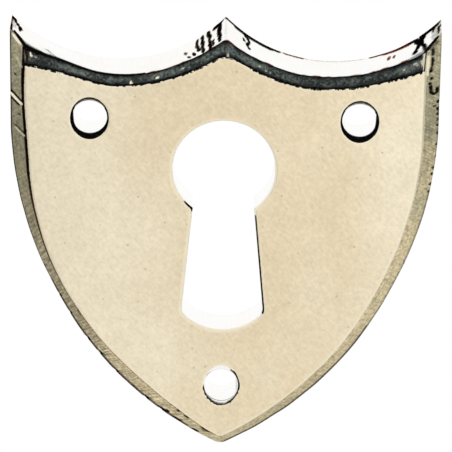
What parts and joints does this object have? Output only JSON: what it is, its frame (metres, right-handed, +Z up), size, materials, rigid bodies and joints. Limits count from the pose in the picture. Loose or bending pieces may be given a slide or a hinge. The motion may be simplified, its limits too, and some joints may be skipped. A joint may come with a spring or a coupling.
{
  "type": "keyhole escutcheon",
  "caption": "Shield-shaped brass plate with a raised field, bevelled border and scalloped top that trims and guards a cabinet keyhole, fixed by pins through its holes.",
  "frame": {"origin": "axis of the key where it meets the back of the plate", "axes": "+Z up as fitted, +X to the right seen from the front, front face towards -Y"},
  "size_m": [0.032, 0.003, 0.0341],
  "materials": {
    "brass": "satin cast brass, filed and dulled on the bevels"
  },
  "bodies": {
    "root": {"escutcheon_plate": "brass"}
  },
  "joints": []
}
